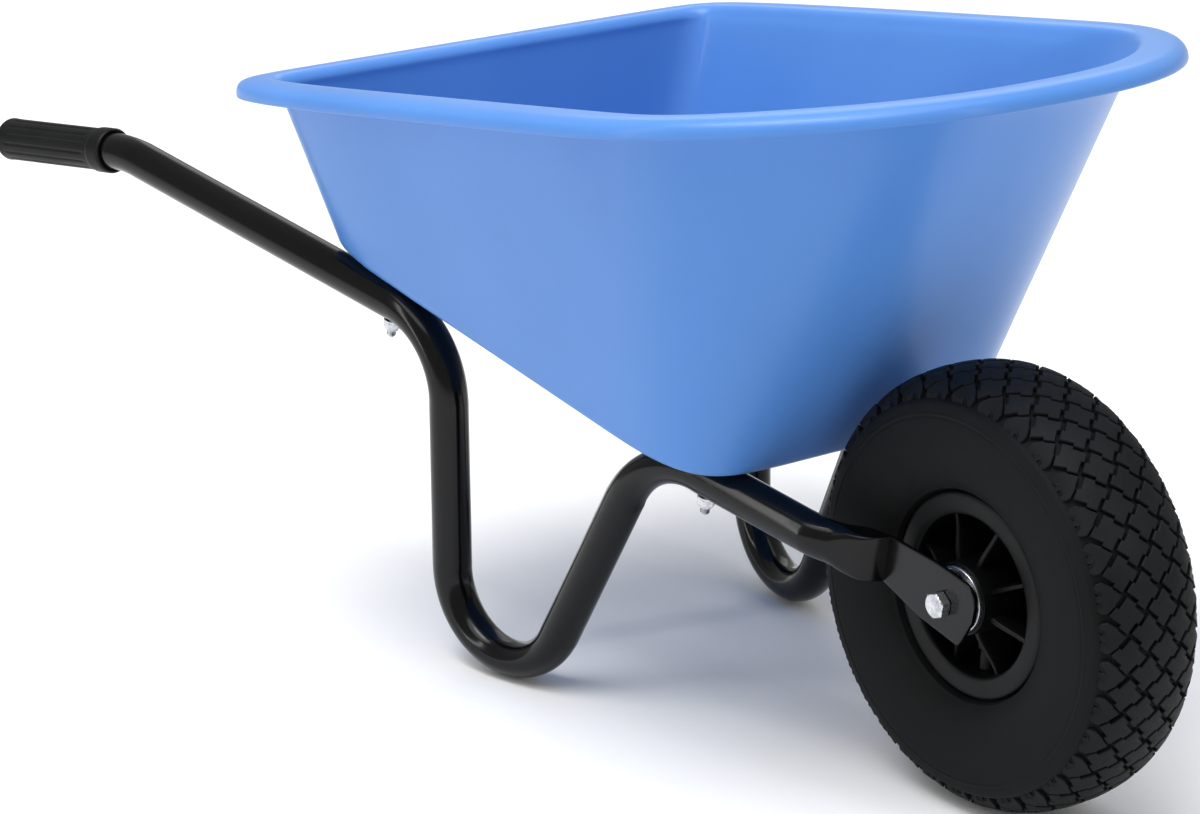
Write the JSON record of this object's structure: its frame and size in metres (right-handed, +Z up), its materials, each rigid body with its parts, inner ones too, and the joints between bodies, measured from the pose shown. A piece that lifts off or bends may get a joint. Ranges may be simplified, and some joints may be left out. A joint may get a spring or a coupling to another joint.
{
  "type": "wheelbarrow",
  "caption": "Small garden barrow: moulded plastic tub on bent steel tubes with hand grips, carried at the front by a ribbed pneumatic wheel on ball bearings.",
  "frame": {"origin": "on the ground, in the middle of the barrow's overall length and width, as it stands on its wheel and two feet", "axes": "+X forwards, towards the wheel; +Y to the left; +Z up"},
  "size_m": [0.9365, 0.4172, 0.4306],
  "materials": {
    "tub_plastic": "moulded, semi-gloss, faintly translucent",
    "frame_paint": "gloss black powder coat",
    "grip_plastic": "ribbed, satin",
    "zinc": "bright zinc plate",
    "bearing_steel": "ground",
    "rim_plastic": "moulded, satin",
    "tyre_rubber": "matt rubber",
    "tube_rubber": "smooth rubber"
  },
  "bodies": {
    "frame": {"tub": "tub_plastic", "frame_tube_right": "frame_paint", "frame_tube_left": "frame_paint", "grip_right": "grip_plastic", "grip_left": "grip_plastic", "tub_bolts": "zinc", "tub_bolt_washers": "zinc", "tub_nut_washers": "zinc", "tub_nuts": "zinc", "axle_bolt": "zinc", "axle_nut": "zinc", "axle_washer": "zinc", "axle_spacers": "zinc", "bearing_sleeve": "bearing_steel", "bearing_inner_rings": "bearing_steel"},
    "wheel": {"bearing_balls": "bearing_steel", "bearing_outer_rings": "bearing_steel", "bearing_caps": "zinc", "rim": "rim_plastic", "tyre": "tyre_rubber", "inner_tube": "tube_rubber", "valve_stem": "tube_rubber", "valve_cap": "rim_plastic"}
  },
  "joints": [
    {"name": "wheel_spin", "type": "hinge", "parent": "frame", "child": "wheel", "pos_m": [0.33819, 0, 0.13], "axis": [0, 1, 0], "continuous": true}
  ]
}
